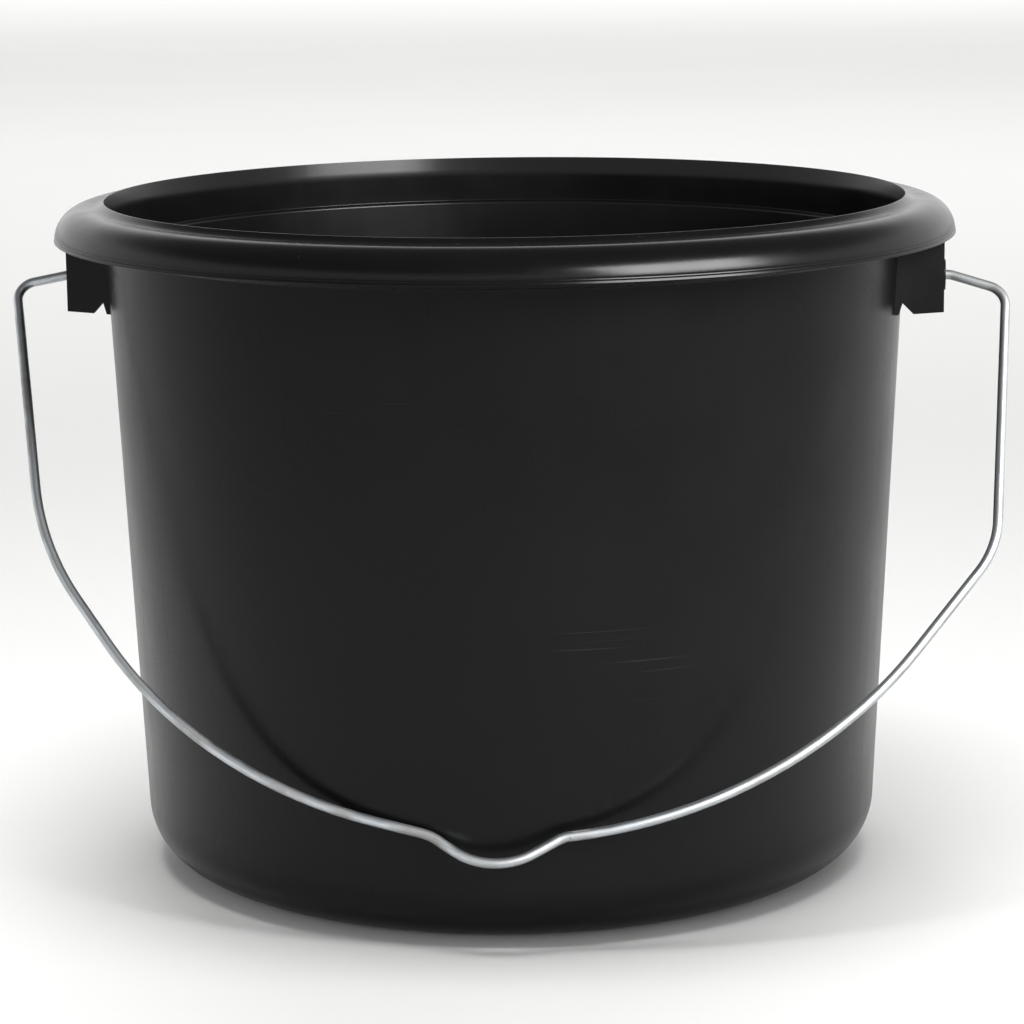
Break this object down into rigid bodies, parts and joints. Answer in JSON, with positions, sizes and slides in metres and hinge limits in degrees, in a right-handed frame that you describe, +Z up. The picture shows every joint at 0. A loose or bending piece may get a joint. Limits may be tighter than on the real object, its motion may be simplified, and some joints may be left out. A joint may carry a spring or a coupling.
{
  "type": "florist bucket",
  "caption": "Round black moulded pail with a rolled rim, side lugs and a hanging galvanised wire bail with a dipped grip.",
  "frame": {"origin": "centre of the foot ring's contact plane, on the pail's axis, with the part standing upright", "axes": "+Z up along the pail's axis; +X along the bail's pivot axis towards the right lug; -Y is the front, where the bail hangs"},
  "size_m": [0.2625, 0.235, 0.1755],
  "materials": {
    "black_polypropylene": "black moulded polypropylene, satin, slightly glossier on the rolled rim",
    "galvanised_wire": "drawn steel wire, zinc coated, bright grey with fine drawing lines"
  },
  "bodies": {
    "pail": {"base": "black_polypropylene", "side_wall": "black_polypropylene", "rolled_rim": "black_polypropylene", "left_lug": "black_polypropylene", "right_lug": "black_polypropylene"},
    "bail": {"wire_bail": "galvanised_wire"}
  },
  "joints": [
    {"name": "bail_swing", "type": "hinge", "parent": "pail", "child": "bail", "pos_m": [0, 0, 0.154], "axis": [-1, 0, 0], "range_deg": [0, 282.8]}
  ]
}
